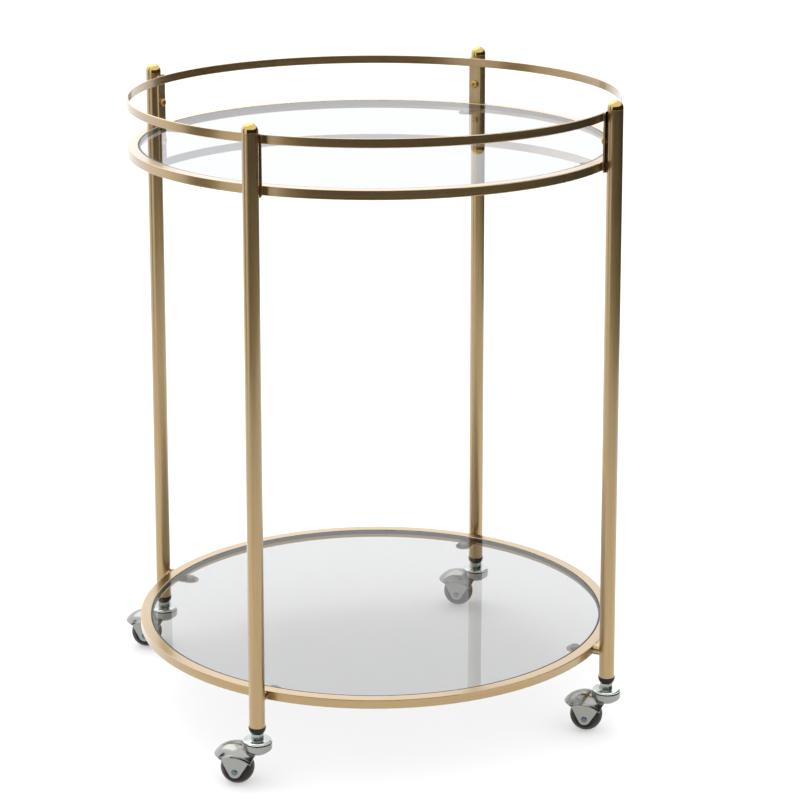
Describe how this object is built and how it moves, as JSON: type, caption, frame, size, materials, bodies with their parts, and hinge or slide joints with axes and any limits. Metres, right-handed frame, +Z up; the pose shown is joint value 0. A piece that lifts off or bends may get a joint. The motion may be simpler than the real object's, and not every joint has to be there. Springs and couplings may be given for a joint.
{
  "type": "bar cart",
  "caption": "Round two-tier bar cart with a gold tube frame, glass shelves, a low gallery rail and swivelling ball casters.",
  "frame": {"origin": "on the floor, on the common axis of the two shelf rings", "axes": "+Z up; the legs stand at 45 degrees between the X and Y axes, and -Y is the front"},
  "size_m": [0.57, 0.57, 0.75],
  "materials": {
    "satin_gold_steel": "satin",
    "polished_brass": "polished",
    "clear_glass": "clear",
    "chrome_plate": "polished",
    "zinc_plate": "bright zinc plated",
    "zinc_steel": "zinc plated",
    "black_plastic": "matte",
    "dark_wheel_plastic": "satin",
    "clear_silicone": "clear",
    "brass_screw": "satin"
  },
  "bodies": {
    "cart_frame": {"gallery_rail": "satin_gold_steel", "upper_ring": "satin_gold_steel", "lower_ring": "satin_gold_steel", "upper_glass_tabs": "satin_gold_steel", "lower_glass_tabs": "satin_gold_steel", "weld_beads": "satin_gold_steel", "upper_glass": "clear_glass", "lower_glass": "clear_glass", "upper_glass_pads": "clear_silicone", "lower_glass_pads": "clear_silicone", "upper_screws": "brass_screw", "lower_screws": "brass_screw", "leg_rivet_nuts": "zinc_steel", "stem_inserts": "zinc_steel", "swivel_bearing_balls": "zinc_steel", "leg_front_left": "satin_gold_steel", "connector_plate_front_left": "satin_gold_steel", "spacer_front_left": "satin_gold_steel", "leg_cap_front_left": "polished_brass", "leg_plug_front_left": "black_plastic", "caster_stem_front_left": "zinc_steel", "caster_disc_front_left": "zinc_plate", "leg_front_right": "satin_gold_steel", "connector_plate_front_right": "satin_gold_steel", "spacer_front_right": "satin_gold_steel", "leg_cap_front_right": "polished_brass", "leg_plug_front_right": "black_plastic", "caster_stem_front_right": "zinc_steel", "caster_disc_front_right": "zinc_plate", "leg_rear_right": "satin_gold_steel", "connector_plate_rear_right": "satin_gold_steel", "spacer_rear_right": "satin_gold_steel", "leg_cap_rear_right": "polished_brass", "leg_plug_rear_right": "black_plastic", "caster_stem_rear_right": "zinc_steel", "caster_disc_rear_right": "zinc_plate", "leg_rear_left": "satin_gold_steel", "connector_plate_rear_left": "satin_gold_steel", "spacer_rear_left": "satin_gold_steel", "leg_cap_rear_left": "polished_brass", "leg_plug_rear_left": "black_plastic", "caster_stem_rear_left": "zinc_steel", "caster_disc_rear_left": "zinc_plate"},
    "swivel_front_left": {"caster_hood_front_left": "chrome_plate", "caster_axle_front_left": "zinc_steel"},
    "wheel_front_left": {"caster_wheel_front_left": "dark_wheel_plastic"},
    "swivel_front_right": {"caster_hood_front_right": "chrome_plate", "caster_axle_front_right": "zinc_steel"},
    "wheel_front_right": {"caster_wheel_front_right": "dark_wheel_plastic"},
    "swivel_rear_right": {"caster_hood_rear_right": "chrome_plate", "caster_axle_rear_right": "zinc_steel"},
    "wheel_rear_right": {"caster_wheel_rear_right": "dark_wheel_plastic"},
    "swivel_rear_left": {"caster_hood_rear_left": "chrome_plate", "caster_axle_rear_left": "zinc_steel"},
    "wheel_rear_left": {"caster_wheel_rear_left": "dark_wheel_plastic"}
  },
  "joints": [
    {"name": "swivel_turn_front_left", "type": "hinge", "parent": "cart_frame", "child": "swivel_front_left", "pos_m": [-0.21264, -0.21264, 0.0505], "axis": [0, 0, 1], "continuous": true},
    {"name": "wheel_roll_front_left", "type": "hinge", "parent": "swivel_front_left", "child": "wheel_front_left", "pos_m": [-0.23304, -0.20202, 0.019], "axis": [-0.4617, -0.887, 0], "continuous": true},
    {"name": "swivel_turn_front_right", "type": "hinge", "parent": "cart_frame", "child": "swivel_front_right", "pos_m": [0.21264, -0.21264, 0.0505], "axis": [0, 0, 1], "continuous": true},
    {"name": "wheel_roll_front_right", "type": "hinge", "parent": "swivel_front_right", "child": "wheel_front_right", "pos_m": [0.19314, -0.20045, 0.019], "axis": [-0.5299, -0.848, 0], "continuous": true},
    {"name": "swivel_turn_rear_right", "type": "hinge", "parent": "cart_frame", "child": "swivel_rear_right", "pos_m": [0.21264, 0.21264, 0.0505], "axis": [0, 0, 1], "continuous": true},
    {"name": "wheel_roll_rear_right", "type": "hinge", "parent": "swivel_rear_right", "child": "wheel_rear_right", "pos_m": [0.19272, 0.22414, 0.019], "axis": [-0.5, -0.866, 0], "continuous": true},
    {"name": "swivel_turn_rear_left", "type": "hinge", "parent": "cart_frame", "child": "swivel_rear_left", "pos_m": [-0.21264, 0.21264, 0.0505], "axis": [0, 0, 1], "continuous": true},
    {"name": "wheel_roll_rear_left", "type": "hinge", "parent": "swivel_rear_left", "child": "wheel_rear_left", "pos_m": [-0.23365, 0.222, 0.019], "axis": [-0.4067, -0.9135, 0], "continuous": true}
  ]
}
